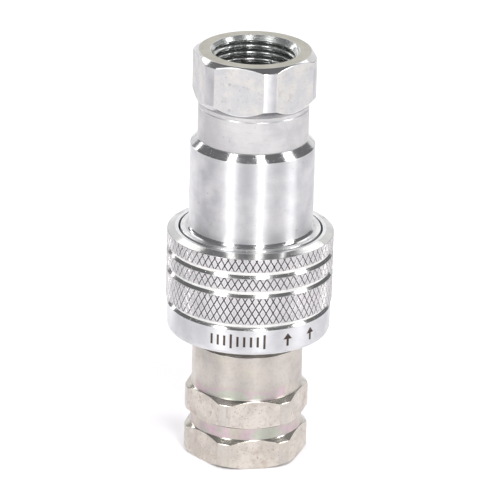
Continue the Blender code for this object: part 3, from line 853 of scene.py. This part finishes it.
class Surface:
    """A new material with its shader, and the places its textures are read at, in millimetres."""

    def __init__(self, name, metallic=1.0):
        self.material = bpy.data.materials.new(name)
        self.material.use_nodes = True
        self.tree = self.material.node_tree
        self.shader = self.tree.nodes["Principled BSDF"]
        self.shader.inputs["Metallic"].default_value = metallic
        coordinates = self.add("TexCoord").outputs["Object"]
        self.place = self.add("VectorMath", {0: coordinates, "Scale": 1.0 / MM}, operation="SCALE").outputs[0]
        self.x, self.y, self.z = self.add("SeparateXYZ", {0: self.place}).outputs

    def add(self, kind, inputs=None, **settings):
        """A new node with its settings, and its inputs each set to a value or linked to a socket."""
        node = self.tree.nodes.new(f"ShaderNode{kind}")
        for name, value in settings.items():
            setattr(node, name, value)
        for name, value in (inputs or {}).items():
            self.connect(value, node.inputs[name])
        return node

    def connect(self, value, socket):
        if isinstance(value, bpy.types.NodeSocket):
            self.tree.links.new(value, socket)
        else:
            socket.default_value = value

    def compute(self, operation, *values):
        return self.add("Math", dict(enumerate(values)), operation=operation).outputs[0]

    def total(self, result, *others):
        for value in others:
            result = self.compute("ADD", result, value)
        return result

    def product(self, result, *others):
        for value in others:
            result = self.compute("MULTIPLY", result, value)
        return result

    def distance(self, value, centre):
        return self.compute("ABSOLUTE", self.compute("SUBTRACT", value, centre))

    def remap(self, value, low, high, to_low=0.0, to_high=1.0):
        """Takes low..high smoothly to to_low..to_high, and holds it there beyond them."""
        inputs = {"Value": value, "From Min": low, "From Max": high, "To Min": to_low, "To Max": to_high}
        return self.add("MapRange", inputs, interpolation_type="SMOOTHSTEP").outputs["Result"]

    def within(self, value, centre, half):
        """1 where the value is within half of the centre, with slightly soft sides."""
        return self.remap(self.distance(value, centre), half - MARK_SOFT, half + MARK_SOFT, 1.0, 0.0)

    def noise(self, scale, detail=2.0, roughness=0.5, place=None):
        """Cloudy noise from 0 to 1, in the object's own space or at the places given."""
        inputs = {"Vector": place or self.place, "Scale": scale, "Detail": detail, "Roughness": roughness}
        return self.add("TexNoise", inputs).outputs["Fac"]

    def mix(self, factor, *colors):
        """Mixes two colours, each a socket or (r, g, b)."""
        first, second = [c if isinstance(c, bpy.types.NodeSocket) else (*c, 1.0) for c in colors]
        return self.add("Mix", {0: factor, 6: first, 7: second}, data_type="RGBA").outputs[2]

    def ramp(self, factor, stops):
        """A colour ramp from (position, color) stops."""
        node = self.add("ValToRGB", {"Fac": factor})
        elements = node.color_ramp.elements
        while len(elements) < len(stops):
            elements.new(0.5)
        for element, (position, color) in zip(elements, stops):
            element.position = position
            element.color = (*color, 1.0)
        return node.outputs["Color"]

    def scratches(self, scale, stretch, width, seed):
        """Thin wandering lines, 1 in the scratch and 0 beside it, broken up by a second noise."""
        inputs = {
            "Vector": self.place,
            "Location": (seed * 7.0, seed * 3.0, seed * 5.0),
            "Rotation": (0.5 * seed, 0.35 * seed, 0.9 * seed),
            "Scale": (scale, scale, scale * stretch),
        }
        place = self.add("Mapping", inputs).outputs["Vector"]
        line = self.remap(self.distance(self.noise(1.0, 1.0, place=place), 0.5), 0.0, width, 1.0, 0.0)
        return self.product(line, self.remap(self.noise(2.3, 1.0, place=place), 0.55, 0.62))

    def pits(self, scale, size, share):
        """Small round pits in a share of the cells, 1 in the pit and 0 beside it."""
        cells = self.add("TexVoronoi", {"Vector": self.place, "Scale": scale})
        cell_value = self.add("SeparateColor", {"Color": cells.outputs["Color"]}).outputs["Red"]
        chosen = self.remap(cell_value, 1.0 - share, 1.0 - share + 0.02)
        return self.product(chosen, self.remap(cells.outputs["Distance"], size * 0.4, size, 1.0, 0.0))

    def ring_place(self, stretch=0.04):
        """Places that change quickly across the turning marks and slowly along them."""
        squares = self.total(self.compute("POWER", self.x, 2.0), self.compute("POWER", self.y, 2.0))
        across = self.total(self.z, self.product(self.compute("SQRT", squares), 0.7))
        parts = (self.product(self.x, stretch), self.product(self.y, stretch), across)
        return self.add("CombineXYZ", dict(enumerate(parts))).outputs[0]

    def edges(self):
        """1 on the worn outer edges that mark_edges found."""
        return self.add("Attribute", attribute_name=EDGE_WEAR).outputs["Fac"]

    def tint(self, mask, amount, color):
        """Takes the colour so far towards another one where the mask is 1."""
        self.color = self.mix(self.product(mask, amount), self.color, color)

    def turned_grain(self, anisotropic):
        """Streaks reflections across the turning marks."""
        tangent = self.add("Tangent", direction_type="RADIAL", axis="Z").outputs[0]
        self.connect(tangent, self.shader.inputs["Tangent"])
        self.connect(anisotropic, self.shader.inputs["Anisotropic"])
        self.connect(0.25, self.shader.inputs["Anisotropic Rotation"])

    def finish(self, roughness, *heights):
        """Completes the shader. heights are (height from 0 to 1, millimetres) pairs."""
        self.connect(self.color, self.shader.inputs["Base Color"])
        self.connect(roughness, self.shader.inputs["Roughness"])
        height = self.total(*[self.product(share, millimetres) for share, millimetres in heights])
        bump = self.add("Bump", {"Distance": MM, "Height": height})
        self.connect(bump.outputs[0], self.shader.inputs["Normal"])
        return self.material


# Turned zinc: light and dark tone, roughness, and how far the turning marks streak reflections
TURNED_ZINC = {
    "bright_zinc": ((0.71, 0.705, 0.705), (0.61, 0.61, 0.62), 0.42, 0.9),
    "bright_zinc_satin": ((0.64, 0.63, 0.625), (0.56, 0.555, 0.555), 0.6, 0.2),
    "bright_zinc_face": ((0.37, 0.355, 0.30), (0.32, 0.31, 0.265), 0.34, 0.0),
    # The port's bore: a darker tone than the outside, painted shade inside the threaded recess
    "bright_zinc_bore_painted_shade": ((0.54, 0.55, 0.54), (0.42, 0.43, 0.42), 0.24, 0.0),
    # Bevels: a smoother polish, and a darker tone that is painted shade on the sloping faces
    "bright_zinc_bevels_painted_shade": ((0.50, 0.50, 0.49), (0.45, 0.45, 0.46), 0.13, 0.0),
    "passivated_zinc_bevels_painted_shade": ((0.50, 0.48, 0.42), (0.42, 0.39, 0.35), 0.18, 0.0),
    "sleeve_zinc": ((0.70, 0.70, 0.705), (0.62, 0.625, 0.635), 0.38, 0.85),
    # The sleeve's bevels: a smoother polish, and a darker tone that is painted shade on the sloping faces
    "sleeve_zinc_bevels_painted_shade": ((0.50, 0.50, 0.48), (0.44, 0.44, 0.44), 0.14, 0.0),
    # The knurl's groove walls: a dark tone, painted shade in the grooves
    "sleeve_zinc_walls_painted_shade": ((0.32, 0.31, 0.305), (0.22, 0.215, 0.21), 0.28, 0.0),
    "sleeve_zinc_diamonds": ((0.63, 0.615, 0.62), (0.52, 0.52, 0.525), 0.42, 0.6),
    # Floors of the grooves between the knurled bands: a pale tone above any other zinc, a painted highlight
    "sleeve_zinc_grooves_painted_highlight": ((0.88, 0.87, 0.83), (0.78, 0.78, 0.75), 0.35, 0.7),
}

# How many times the light tone a worn edge has, and the brightest that a metal's tone gets
WORN = {"sleeve_zinc_diamonds": 1.15}
USUALLY_WORN = 1.4
BRIGHTEST = 0.9

# Zinc on drawn flats: light and dark tone, the colour of specks, and the share of the surface with pits
MILLED_ZINC = {
    "bright_zinc_flats": ((0.63, 0.615, 0.585), (0.54, 0.545, 0.55), (0.38, 0.36, 0.36), 0.12),
    "passivated_zinc_flats": ((0.68, 0.64, 0.58), (0.56, 0.52, 0.47), (0.40, 0.30, 0.25), 0.3),
}

# The chromate film's colours by its thickness
FILM_COLORS = (
    (0.28, (0.57, 0.56, 0.47)),
    (0.42, (0.58, 0.53, 0.48)),
    (0.55, (0.58, 0.54, 0.50)),
    (0.66, (0.58, 0.53, 0.46)),
    (0.74, (0.62, 0.44, 0.52)),
    (0.82, (0.51, 0.55, 0.45)),
)


def scaled(color, factor):
    return tuple(min(BRIGHTEST, factor * channel) for channel in color)


def turned_zinc(name):
    """Zinc plate over a turned surface: turning marks, clouds, scratches and worn edges."""
    light, dark, roughness, anisotropic = TURNED_ZINC[name]
    s = Surface(name)
    rings = s.ring_place()
    fine = s.noise(6.0, place=rings)
    coarse = s.noise(0.9, 3.0, place=rings)
    clouds = s.noise(0.22, 4.0, 0.6)
    marks = s.total(s.scratches(0.5, 1.6, 0.006, 1.0), s.scratches(0.35, 2.2, 0.004, 2.4))
    s.color = s.mix(s.remap(clouds, 0.35, 0.65), dark, light)
    s.tint(s.remap(coarse, 0.3, 0.7), 0.25, dark)
    s.tint(marks, 0.5, scaled(dark, 0.45))
    s.tint(s.edges(), 0.7, scaled(light, WORN.get(name, USUALLY_WORN)))
    rough = s.total(
        roughness,
        s.remap(fine, 0.2, 0.8, -0.05, 0.05),
        s.remap(clouds, 0.3, 0.7, 0.04, -0.04),
        s.product(marks, 0.15),
    )
    if name == "sleeve_zinc":
        printed = laser_marks(s, box_mm("locking_sleeve")[0].z + MARK_HEIGHT)
        s.tint(printed, 1.0, LASER_BROWN)
        rough = s.total(rough, s.product(printed, 0.2))
    heights = [(fine, 0.003), (coarse, 0.012), (s.noise(0.3), 0.02), (marks, -0.01)]
    if anisotropic:
        s.turned_grain(anisotropic)
        heights.append((s.noise(1.3, 3.0, 0.6), 0.012))
    return s.finish(rough, *heights)


def milled_zinc(name):
    """Zinc plate over the drawn surface of the flats: mottled, pitted and a little matt."""
    light, dark, speck, pit_share = MILLED_ZINC[name]
    s = Surface(name)
    clouds = s.noise(0.3, 5.0, 0.6)
    grain = s.noise(2.6, 3.0, 0.6)
    stains = s.noise(0.5)
    fine = s.noise(2.2, 3.0, 0.7)
    small = s.pits(1.5, 0.3, pit_share)
    large = s.pits(0.45, 0.2, pit_share)
    marks = s.scratches(0.4, 1.5, 0.01, 3.1)
    s.color = s.mix(s.remap(clouds, 0.36, 0.64), dark, light)
    s.tint(s.remap(fine, 0.54, 0.7), 2.5 * pit_share, speck)
    s.tint(s.remap(stains, 0.56, 0.74), 0.45, speck)
    s.tint(s.total(small, large), 0.6, speck)
    s.tint(marks, 0.5, speck)
    s.tint(s.edges(), 0.7, scaled(light, 1.3))
    rough = s.total(s.remap(grain, 0.25, 0.75, 0.36, 0.52), s.product(small, 0.15))
    return s.finish(rough, (grain, 0.02), (clouds, 0.05), (small, -0.02), (large, -0.03), (marks, -0.01))


def laser_marks(s, height):
    """A row of bars and two arrows that show which way the sleeve pulls: 1 in a mark, 0 beside it."""
    around = s.product(s.compute("ARCTAN2", s.x, s.product(s.y, -1.0)), BAND_R)
    above = s.compute("SUBTRACT", s.z, height)
    marks = laser_bars(s, around, above)
    for centre in ARROW_CENTRES:
        marks = s.compute("MAXIMUM", marks, laser_arrow(s, around, above, centre))
    return marks


def laser_bars(s, around, above):
    row = s.within(around, BARS_CENTRE, BARS_HALF)
    single = repeated(s, around, BAR_PITCH, BAR_WIDTH)
    tall = repeated(s, around, TALL_BAR_EVERY * BAR_PITCH, BAR_PITCH)
    half_height = s.total(BAR_HALF_HEIGHT, s.product(tall, TALL_BAR_EXTRA))
    inside = s.compute("SUBTRACT", half_height, s.compute("ABSOLUTE", above))
    return s.product(row, single, s.remap(inside, -MARK_SOFT, MARK_SOFT))


def repeated(s, around, pitch, width):
    """1 within a strip of that width in the middle of each pitch."""
    share = s.compute("FRACT", s.compute("DIVIDE", around, pitch))
    return s.within(share, 0.5, width / pitch / 2.0)


def laser_arrow(s, around, above, centre):
    shaft = s.product(s.within(around, centre, SHAFT_HALF_WIDTH), s.within(above, *SHAFT_SPAN))
    below_tip = s.compute("SUBTRACT", ARROW_TIP, above)
    spread = s.compute("SUBTRACT", s.product(below_tip, ARROW_SLOPE), s.distance(around, centre))
    head = s.product(s.remap(spread, -MARK_SOFT, MARK_SOFT), s.within(above, *HEAD_SPAN))
    return s.compute("MAXIMUM", shaft, head)


def passivated_zinc(name):
    """Zinc under a clear chromate film, whose thickness tints it yellow, green and pink."""
    s = Surface(name)
    s.turned_grain(0.7)
    fine = s.noise(5.0, place=s.ring_place(0.12))
    clouds = s.noise(0.25, 4.0, 0.6)
    film = s.noise(0.13)
    foot = s.remap(s.distance(s.z, FILM_FOOT_Z), 0.0, 2.6, 1.0, 0.0)
    waist = s.remap(s.distance(s.z, FILM_WAIST_Z), 0.8, 1.8, 1.0, 0.0)
    s.color = s.ramp(s.total(film, s.product(s.total(foot, waist), 0.22)), FILM_COLORS)
    s.tint(s.remap(clouds, 0.35, 0.65), 0.55, (0.45, 0.43, 0.40))
    marks = s.scratches(0.45, 0.3, 0.006, 1.7)
    specks = s.pits(1.1, 0.2, 0.1)
    s.tint(s.total(marks, specks), 0.5, (0.30, 0.26, 0.22))
    grain = s.noise(1.6, 3.0, 0.65)
    s.tint(s.remap(grain, 0.48, 0.68), 0.4, (0.42, 0.40, 0.35))
    s.tint(s.edges(), 0.5, (0.70, 0.69, 0.62))
    rough = s.total(0.38, s.remap(clouds, 0.3, 0.7, -0.05, 0.07), s.remap(fine, 0.2, 0.8, -0.04, 0.04))
    return s.finish(rough, (fine, 0.004), (grain, 0.012), (clouds, 0.03), (specks, -0.015), (marks, -0.01))


def spring_steel(name):
    """Drawn wire, phosphated dark grey with bright rubbed patches."""
    s = Surface(name)
    grain = s.noise(3.0, 3.0)
    rubbed = s.remap(s.noise(0.8), 0.5, 0.7)
    s.color = s.mix(rubbed, (0.16, 0.16, 0.17), (0.34, 0.34, 0.35))
    return s.finish(s.remap(grain, 0.25, 0.75, 0.28, 0.45), (grain, 0.006))


def ball_steel(name):
    """Hardened and lapped bearing steel, with faint contact marks."""
    s = Surface(name)
    haze = s.noise(1.2, 3.0)
    marks = s.scratches(1.4, 0.3, 0.01, 1.3)
    s.color = s.mix(haze, (0.56, 0.56, 0.57), (0.66, 0.66, 0.67))
    rough = s.total(s.remap(haze, 0.3, 0.7, 0.07, 0.16), s.product(marks, 0.1))
    return s.finish(rough, (marks, -0.004))


def valve_brass(name):
    """Turned brass, dulled brown in patches."""
    s = Surface(name)
    fine = s.noise(5.0, place=s.ring_place(0.08))
    tarnish = s.remap(s.noise(0.5, 4.0, 0.6), 0.4, 0.7)
    s.color = s.mix(tarnish, (0.68, 0.48, 0.20), (0.42, 0.27, 0.11))
    rough = s.total(s.remap(fine, 0.2, 0.8, 0.2, 0.32), s.product(tarnish, 0.15))
    return s.finish(rough, (fine, 0.005))


def seal_rubber(name):
    """Moulded nitrile rubber with a thin oily bloom."""
    s = Surface(name, 0.0)
    grain = s.noise(6.0, 3.0)
    bloom = s.noise(0.9, 3.0)
    s.color = s.mix(bloom, (0.012, 0.012, 0.013), (0.035, 0.035, 0.037))
    return s.finish(s.remap(bloom, 0.3, 0.7, 0.38, 0.6), (grain, 0.008))


def ptfe(name):
    """Skived PTFE, waxy white with fine tool lines."""
    s = Surface(name, 0.0)
    fine = s.noise(6.0, place=s.ring_place(0.1))
    s.color = s.mix(s.noise(0.8, 3.0), (0.78, 0.78, 0.75), (0.86, 0.86, 0.84))
    return s.finish(s.remap(fine, 0.2, 0.8, 0.34, 0.46), (fine, 0.005))


OTHER_FINISHES = {
    "passivated_zinc": passivated_zinc,
    "spring_steel": spring_steel,
    "ball_steel": ball_steel,
    "valve_brass": valve_brass,
    "seal_rubber": seal_rubber,
    "ptfe": ptfe,
}


@functools.cache
def finish(name):
    """The finish with that name, made once."""
    if name in TURNED_ZINC:
        return turned_zinc(name)
    if name in MILLED_ZINC:
        return milled_zinc(name)
    return OTHER_FINISHES[name](name)


# ---- faces with a finish of their own, some with painted shade and some with a painted highlight

# The middle of a face, in millimetres from the axis and up it, and which way the face points
Spot = collections.namedtuple("Spot", "r z angle normal_r normal_z")


def spot_of(face):
    middle = face.center / MM
    r = math.hypot(middle.x, middle.y)
    normal_r = (face.normal.x * middle.x + face.normal.y * middle.y) / max(r, 1e-6)
    return Spot(r, middle.z, math.atan2(middle.y, middle.x), normal_r, face.normal.z)


def give(piece, name, chosen):
    """Gives a finish to the faces whose spot is chosen."""
    piece.data.materials.append(finish(name))
    index = len(piece.data.materials) - 1
    for face in piece.data.polygons:
        if chosen(spot_of(face)):
            face.material_index = index


def on_flats(mount, bottom, top):
    """Chooses the six flats of a hexagon between two heights. The mount is on one of them."""
    flat_angle = mount_angle(mount)

    def chosen(spot):
        off_centre = off_flat(spot.angle, flat_angle)
        on_plane = abs(spot.r * math.cos(off_centre) - FLAT_R) < 0.03 and abs(off_centre) < HALF_FLAT_ANGLE
        return on_plane and abs(spot.normal_z) <= 0.3 and bottom < spot.z < top

    return chosen


def sloping_outside(spot):
    return spot.r > 10.68 and spot.normal_r > 0.0 and 0.4 < abs(spot.normal_z) < 0.97


def finish_plug_body(piece):
    give(piece, "passivated_zinc_flats", on_flats("plug_upper_wrench_flat", 0.3, 14.0))
    # Sloping faces: a smoother polish, with a darker tone that is painted shade
    give(piece, "passivated_zinc_bevels_painted_shade", sloping_outside)
    # The port's bore: a darker tone, painted shade inside the recess
    give(piece, "bright_zinc_bore_painted_shade", lambda spot: spot.r < PORT_MOUTH_R and spot.z < PORT_DEPTH)


def finish_socket_adapter(piece):
    top = box_mm("socket_adapter")[1].z
    give(piece, "bright_zinc_flats", on_flats("socket_wrench_flat", top - 9.5, top - 0.5))
    give(piece, "bright_zinc_satin", lambda spot: spot.r < 10.8 and spot.normal_r > 0.9)
    # Sloping faces: a smoother polish, with a darker tone that is painted shade
    give(piece, "bright_zinc_bevels_painted_shade", sloping_outside)
    give(piece, "bright_zinc_face", lambda spot: spot.normal_z > 0.97 and spot.z > top - 0.1)
    # The port's bore: a darker tone, painted shade inside the recess
    give(piece, "bright_zinc_bore_painted_shade", lambda spot: spot.r < PORT_MOUTH_R and spot.z > top - PORT_DEPTH)


def finish_socket_body(piece):
    # Sloping faces: a smoother polish, with a darker tone that is painted shade
    give(piece, "bright_zinc_bevels_painted_shade", sloping_outside)


def finish_locking_sleeve(piece):
    bands = knurl_bands()
    crest = box_mm("locking_sleeve")[1].x
    diamond_r = crest - 2.0 * BELOW_CREST

    def in_knurl(spot):
        return any(bottom - 0.05 < spot.z < top + 0.05 for bottom, top in bands)

    def in_groove(spot):
        return crest - 0.8 < spot.r < crest - 0.4 and spot.z > bands[0][0] - 0.8 and spot.normal_r > 0.9

    # Sloping faces: a smoother polish, with a darker tone that is painted shade
    give(piece, "sleeve_zinc_bevels_painted_shade", sloping_outside)
    # Floors of the grooves between the bands: a pale tone, a painted highlight
    give(piece, "sleeve_zinc_grooves_painted_highlight", in_groove)
    give(piece, "sleeve_zinc_diamonds", lambda spot: spot.r > diamond_r and in_knurl(spot))
    # The knurl's groove walls: a dark tone, painted shade in the grooves
    give(piece, "sleeve_zinc_walls_painted_shade", lambda spot: crest - KNURL_DEPTH < spot.r < diamond_r and in_knurl(spot))


FACE_FINISHES = {
    "plug_body": finish_plug_body,
    "socket_adapter": finish_socket_adapter,
    "socket_body": finish_socket_body,
    "locking_sleeve": finish_locking_sleeve,
}


# ---- what is built

# Pieces: node, the function that builds it, body and finish
PIECES = (
    ("plug_body", plug_body, "plug", "passivated_zinc"),
    ("plug_valve_guide", valve_guide, "plug", "valve_brass"),
    ("plug_circlip", plug_circlip, "plug", "spring_steel"),
    ("plug_poppet", plug_poppet, "plug_poppet", "valve_brass"),
    ("plug_poppet_seal", o_ring, "plug_poppet", "seal_rubber"),
    ("socket_adapter", socket_adapter, "socket", "bright_zinc"),
    ("socket_body", socket_body, "socket", "bright_zinc"),
    ("socket_valve_guide", valve_guide, "socket", "valve_brass"),
    ("adapter_seal", o_ring, "socket", "seal_rubber"),
    ("interface_o_ring", o_ring, "socket", "seal_rubber"),
    ("backup_ring", backup_ring, "socket", "ptfe"),
    ("sleeve_snap_ring", sleeve_snap_ring, "socket", "spring_steel"),
    ("socket_poppet", socket_poppet, "socket_poppet", "valve_brass"),
    ("socket_poppet_seal", o_ring, "socket_poppet", "seal_rubber"),
    ("locking_sleeve", locking_sleeve, "sleeve", "sleeve_zinc"),
)

# Springs: node, the bodies at the lower and the upper end, wire radius and turns
SPRINGS = (
    ("sleeve_spring", "sleeve", "sleeve_spring", 0.56, 4.0),
    ("socket_valve_spring", "socket_poppet", "socket", 0.65, 6.0),
    ("plug_valve_spring", "plug", "plug_poppet", 0.5, 9.0),
)


# ---- stage, light, camera

CAMERA_DISTANCE = 0.9
CAMERA_ELEVATION = 21.95
CAMERA_ROLL = 1.5
CAMERA_LENS = 335.35
SENSOR_WIDTH = 36.0
LOOK_AT_SHARE = 0.502


def make_camera():
    height = cad_box[1][2] - cad_box[0][2]
    target = Vector((0.0, 0.0, cad_box[0][2] + LOOK_AT_SHARE * height))
    elevation = math.radians(CAMERA_ELEVATION)
    away = Vector((0.0, -math.cos(elevation), math.sin(elevation)))
    data = bpy.data.cameras.new("camera")
    data.lens = CAMERA_LENS
    data.sensor_width = SENSOR_WIDTH
    data.clip_start = 0.05
    camera = add_object("camera", data)
    aim = away.to_track_quat("Z", "Y").to_matrix().to_4x4()
    roll = Matrix.Rotation(math.radians(CAMERA_ROLL), 4, "Z")
    camera.matrix_world = Matrix.Translation(target + away * CAMERA_DISTANCE) @ aim @ roll
    bpy.context.scene.camera = camera


def make_floor():
    """A wide floor, a hair below the coupler so that the two don't share a plane."""
    mesh = bpy.data.meshes.new("floor")
    size = 4.0
    corners = [(-size, -size, 0.0), (size, -size, 0.0), (size, size, 0.0), (-size, size, 0.0)]
    mesh.from_pydata(corners, [], [(0, 1, 2, 3)])
    floor = add_object("floor", mesh)
    floor.location.z = cad_box[0][2] - 0.1 * MM
    material = bpy.data.materials.new("floor")
    material.use_nodes = True
    shader = material.node_tree.nodes["Principled BSDF"]
    shader.inputs["Base Color"].default_value = (0.97, 0.955, 0.98, 1.0)
    shader.inputs["Roughness"].default_value = 0.9
    shader.inputs["Specular IOR Level"].default_value = 0.1
    mesh.materials.append(material)


def make_world():
    """Dim surroundings, which the lights stand out against."""
    world = bpy.data.worlds.new("studio")
    bpy.context.scene.world = world
    world.use_nodes = True
    world.node_tree.nodes["Background"].inputs["Color"].default_value = (0.28, 0.28, 0.29, 1.0)


# Softboxes: name, the directions of the low and the high end as (azimuth, elevation), width in
# degrees as seen from the coupler, and radiance. Azimuth 0 is the camera's side and grows to the right.
LIGHT_DISTANCE = 1.6
SOFTBOXES = (
    ("front_left", (-35.0, 10.0), (-60.0, 62.0), 11.0, 9.5),
    ("front_right", (16.0, 10.0), (30.0, 68.0), 10.0, 9.5),
    ("right", (74.0, 12.0), (97.0, 50.0), 13.0, 7.0),
    ("edge_left", (-132.0, 0.0), (-132.0, 30.0), 4.0, 6.0),
    ("backdrop", (180.0, 0.0), (180.0, 36.0), 70.0, 0.95),
    ("back", (180.0, 37.0), (180.0, 54.0), 80.0, 2.2),
)


def direction(azimuth, elevation):
    az = math.radians(azimuth)
    el = math.radians(elevation)
    return Vector((math.sin(az) * math.cos(el), -math.cos(az) * math.cos(el), math.sin(el)))


def add_softbox(name, low, high, width_deg, radiance):
    """A rectangular light whose long side runs between two directions, aimed at the coupler."""
    middle = Vector((0.0, 0.0, (cad_box[0][2] + cad_box[1][2]) / 2.0))
    low_end = direction(*low) * LIGHT_DISTANCE
    high_end = direction(*high) * LIGHT_DISTANCE
    centre = (low_end + high_end) / 2.0
    back = centre.normalized()
    along = (high_end - low_end).normalized()
    across = along.cross(back).normalized()
    data = bpy.data.lights.new(name, "AREA")
    data.shape = "RECTANGLE"
    data.size = 2.0 * centre.length * math.tan(math.radians(width_deg / 2.0))
    data.size_y = (high_end - low_end).length
    data.energy = radiance * math.pi * data.size * data.size_y
    light = add_object(name, data)
    light.visible_camera = False
    turn = Matrix((across, along, back)).transposed().to_4x4()
    light.matrix_world = Matrix.Translation(middle + centre) @ turn


def replace_node(piece, node, slot):
    piece.data.materials.clear()
    piece.data.materials.append(finish(slot))
    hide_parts(node)


def main():
    bpy.context.scene.view_settings.view_transform = "Standard"
    for node, build, body, slot in PIECES:
        piece = build(node)
        replace_node(piece, node, slot)
        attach(piece, body)
        if node in FACE_FINISHES:
            FACE_FINISHES[node](piece)
    for node in BALLS:
        ball = lock_ball(node)
        replace_node(ball, node, "ball_steel")
        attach(ball, node)
    for node, lower, upper, wire_r, turns in SPRINGS:
        piece = spring(node, wire_r, turns)
        replace_node(piece, node, "spring_steel")
        low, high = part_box(node)
        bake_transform(piece)
    make_camera()
    make_floor()
    make_world()
    for softbox in SOFTBOXES:
        add_softbox(*softbox)


main()
